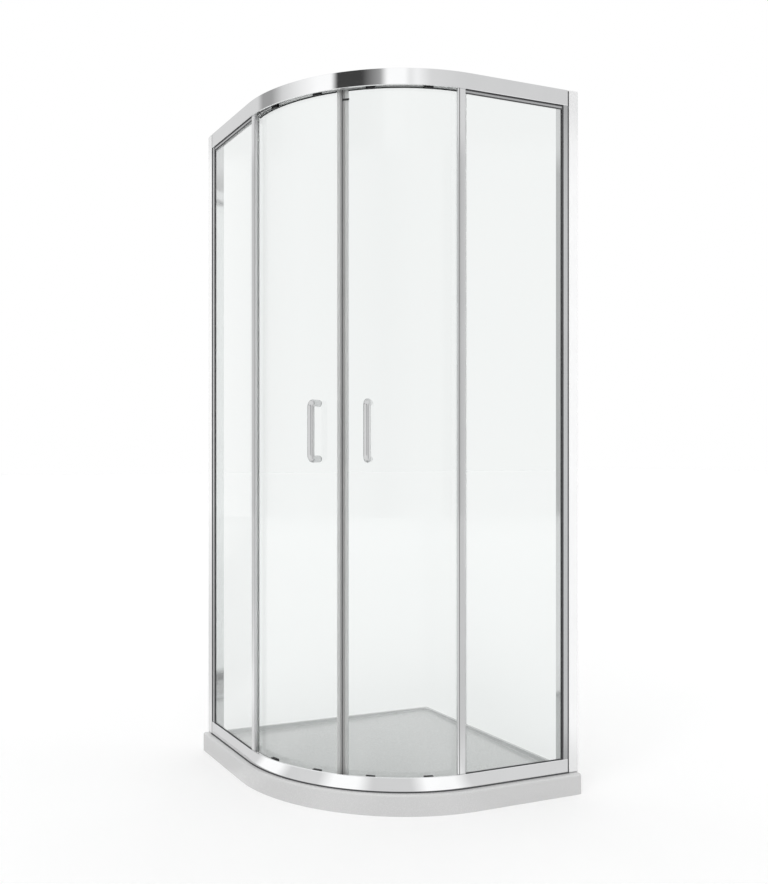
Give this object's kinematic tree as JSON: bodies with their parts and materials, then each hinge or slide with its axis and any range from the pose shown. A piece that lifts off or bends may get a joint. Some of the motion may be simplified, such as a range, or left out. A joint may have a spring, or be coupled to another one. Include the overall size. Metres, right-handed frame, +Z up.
{
  "type": "quadrant shower enclosure",
  "caption": "Quadrant shower enclosure: low white tray, bright framed fixed glass panels and curved glass doors that roll apart on a bent rail, with round D handles.",
  "frame": {"origin": "centre of the tray's square footprint, on its underside", "axes": "+Z up; the two room walls stand at +X and +Y, and the quarter-round front faces -X -Y"},
  "size_m": [0.8, 0.8, 1.89],
  "materials": {
    "tray_white": "glossy white tray",
    "chrome_profile": "bright polished aluminium profile",
    "chrome_trim": "polished chrome",
    "steel_fixings": "stainless screws and pins",
    "clear_glass": "clear toughened glass",
    "clear_seal": "translucent flexible seal",
    "dark_magnet": "flexible magnet strip",
    "grey_gasket": "dark grey rubber",
    "black_carrier": "black moulded nylon",
    "white_wheel": "white acetal wheel",
    "grey_cap": "light grey moulded cap",
    "clear_washer": "clear soft washer"
  },
  "bodies": {
    "enclosure": {"shower_tray": "tray_white", "waste_body": "grey_cap", "waste_seals": "grey_gasket", "waste_locknut": "grey_cap", "waste_cover": "chrome_trim", "tray_seal": "grey_gasket", "top_rail": "chrome_profile", "bottom_rail": "chrome_profile", "jamb_screws": "steel_fixings", "rail_screws": "steel_fixings", "door_stops": "grey_gasket", "left_wall_profile": "chrome_profile", "left_profile_cap": "grey_cap", "left_frame_jamb": "chrome_profile", "left_fixed_glass": "clear_glass", "left_glazing_gasket": "grey_gasket", "left_fixed_post": "chrome_profile", "right_wall_profile": "chrome_profile", "right_profile_cap": "grey_cap", "right_frame_jamb": "chrome_profile", "right_fixed_glass": "clear_glass", "right_glazing_gasket": "grey_gasket", "right_fixed_post": "chrome_profile"},
    "left_door": {"left_door_glass": "clear_glass", "left_closing_seal": "clear_seal", "left_seal_magnet": "dark_magnet", "left_rear_seal": "clear_seal", "left_handle": "chrome_trim", "left_handle_washers": "clear_washer", "left_handle_screws": "chrome_trim", "left_top_rear_carrier": "black_carrier", "left_top_front_carrier": "black_carrier", "left_bottom_rear_carrier": "black_carrier", "left_bottom_front_carrier": "black_carrier", "left_roller_axles": "steel_fixings", "left_clamp_screws": "steel_fixings"},
    "right_door": {"right_door_glass": "clear_glass", "right_closing_seal": "clear_seal", "right_seal_magnet": "dark_magnet", "right_rear_seal": "clear_seal", "right_handle": "chrome_trim", "right_handle_washers": "clear_washer", "right_handle_screws": "chrome_trim", "right_top_rear_carrier": "black_carrier", "right_top_front_carrier": "black_carrier", "right_bottom_rear_carrier": "black_carrier", "right_bottom_front_carrier": "black_carrier", "right_roller_axles": "steel_fixings", "right_clamp_screws": "steel_fixings"},
    "left_top_rear_roller": {"left_top_rear_wheels": "white_wheel"},
    "left_top_front_roller": {"left_top_front_wheels": "white_wheel"},
    "left_bottom_rear_roller": {"left_bottom_rear_wheels": "white_wheel"},
    "left_bottom_front_roller": {"left_bottom_front_wheels": "white_wheel"},
    "right_top_rear_roller": {"right_top_rear_wheels": "white_wheel"},
    "right_top_front_roller": {"right_top_front_wheels": "white_wheel"},
    "right_bottom_rear_roller": {"right_bottom_rear_wheels": "white_wheel"},
    "right_bottom_front_roller": {"right_bottom_front_wheels": "white_wheel"}
  },
  "joints": [
    {"name": "left_door_travel", "type": "hinge", "parent": "enclosure", "child": "left_door", "pos_m": [0.11, 0.075, 0.95], "axis": [0, 0, -1], "range_deg": [0, 22.5]},
    {"name": "right_door_travel", "type": "hinge", "parent": "enclosure", "child": "right_door", "pos_m": [0.075, 0.11, 0.95], "axis": [0, 0, 1], "range_deg": [0, 22.5]},
    {"name": "left_top_rear_roller_spin", "type": "hinge", "parent": "left_door", "child": "left_top_rear_roller", "pos_m": [-0.34338, -0.04432, 1.87], "axis": [-0.9681, -0.2504, 0], "continuous": true},
    {"name": "left_top_front_roller_spin", "type": "hinge", "parent": "left_door", "child": "left_top_front_roller", "pos_m": [-0.2813, -0.17898, 1.87], "axis": [-0.8192, -0.5736, 0], "continuous": true},
    {"name": "left_bottom_rear_roller_spin", "type": "hinge", "parent": "left_door", "child": "left_bottom_rear_roller", "pos_m": [-0.34338, -0.04432, 0.0665], "axis": [-0.9681, -0.2504, 0], "continuous": true},
    {"name": "left_bottom_front_roller_spin", "type": "hinge", "parent": "left_door", "child": "left_bottom_front_roller", "pos_m": [-0.2813, -0.17898, 0.0665], "axis": [-0.8192, -0.5736, 0], "continuous": true},
    {"name": "right_top_rear_roller_spin", "type": "hinge", "parent": "right_door", "child": "right_top_rear_roller", "pos_m": [-0.04432, -0.34338, 1.87], "axis": [-0.2504, -0.9681, 0], "continuous": true},
    {"name": "right_top_front_roller_spin", "type": "hinge", "parent": "right_door", "child": "right_top_front_roller", "pos_m": [-0.17898, -0.2813, 1.87], "axis": [-0.5736, -0.8192, 0], "continuous": true},
    {"name": "right_bottom_rear_roller_spin", "type": "hinge", "parent": "right_door", "child": "right_bottom_rear_roller", "pos_m": [-0.04432, -0.34338, 0.0665], "axis": [-0.2504, -0.9681, 0], "continuous": true},
    {"name": "right_bottom_front_roller_spin", "type": "hinge", "parent": "right_door", "child": "right_bottom_front_roller", "pos_m": [-0.17898, -0.2813, 0.0665], "axis": [-0.5736, -0.8192, 0], "continuous": true}
  ],
  "couplings": [
    {"joint": "left_top_rear_roller_spin", "follows": "left_door_travel", "ratio": 60.885},
    {"joint": "left_top_front_roller_spin", "follows": "left_door_travel", "ratio": 60.547},
    {"joint": "left_bottom_rear_roller_spin", "follows": "left_door_travel", "ratio": 60.885},
    {"joint": "left_bottom_front_roller_spin", "follows": "left_door_travel", "ratio": 60.547},
    {"joint": "right_top_rear_roller_spin", "follows": "right_door_travel", "ratio": -60.885},
    {"joint": "right_top_front_roller_spin", "follows": "right_door_travel", "ratio": -60.547},
    {"joint": "right_bottom_rear_roller_spin", "follows": "right_door_travel", "ratio": -60.885},
    {"joint": "right_bottom_front_roller_spin", "follows": "right_door_travel", "ratio": -60.547}
  ]
}
